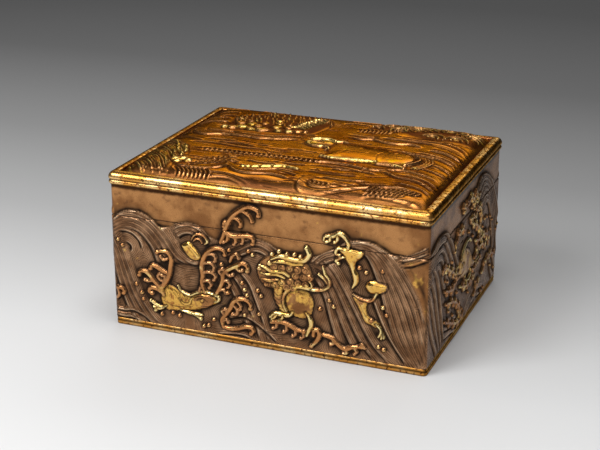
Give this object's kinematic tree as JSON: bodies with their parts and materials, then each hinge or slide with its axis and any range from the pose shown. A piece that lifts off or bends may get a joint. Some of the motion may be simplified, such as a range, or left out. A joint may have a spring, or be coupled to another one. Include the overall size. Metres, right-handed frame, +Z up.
{
  "type": "lidded box",
  "caption": "Rectangular chased copper box with a lift-off pillowed lid, gilt mouldings and high relief waves, foam, rocks and beasts.",
  "frame": {"origin": "on the ground under the middle of the box", "axes": "+X along the long side, to the right as the long front is faced; +Y from the front to the back; +Z up"},
  "size_m": [0.13, 0.101, 0.0676],
  "materials": {
    "chased_copper": "patinated brown copper alloy, chased and burnished on the high points",
    "gilt_moulding": "fire-gilt copper, worn dark in the quirks",
    "lid_panel": "polished russet copper with parcel gilding",
    "base_copper": "plain brown copper sheet",
    "gold_wash": "satin gold-washed sheet"
  },
  "bodies": {
    "box": {"base_rail_front": "gilt_moulding", "body_wall_front": "chased_copper", "lining_front": "gold_wash", "base_rail_right": "gilt_moulding", "body_wall_right": "chased_copper", "lining_right": "gold_wash", "base_rail_back": "gilt_moulding", "body_wall_back": "chased_copper", "lining_back": "gold_wash", "base_rail_left": "gilt_moulding", "body_wall_left": "chased_copper", "lining_left": "gold_wash", "base_plate": "base_copper", "lining_floor": "gold_wash"},
    "lid": {"lid_wall_front": "chased_copper", "lid_rail_front": "gilt_moulding", "lid_wall_right": "chased_copper", "lid_rail_right": "gilt_moulding", "lid_wall_back": "chased_copper", "lid_rail_back": "gilt_moulding", "lid_wall_left": "chased_copper", "lid_rail_left": "gilt_moulding", "lid_lining": "gold_wash", "lid_top": "lid_panel"}
  },
  "joints": [
    {"name": "lid_lift", "type": "slide", "parent": "box", "child": "lid", "axis": [0, 0, 1], "range_m": [0, 0.05]}
  ]
}
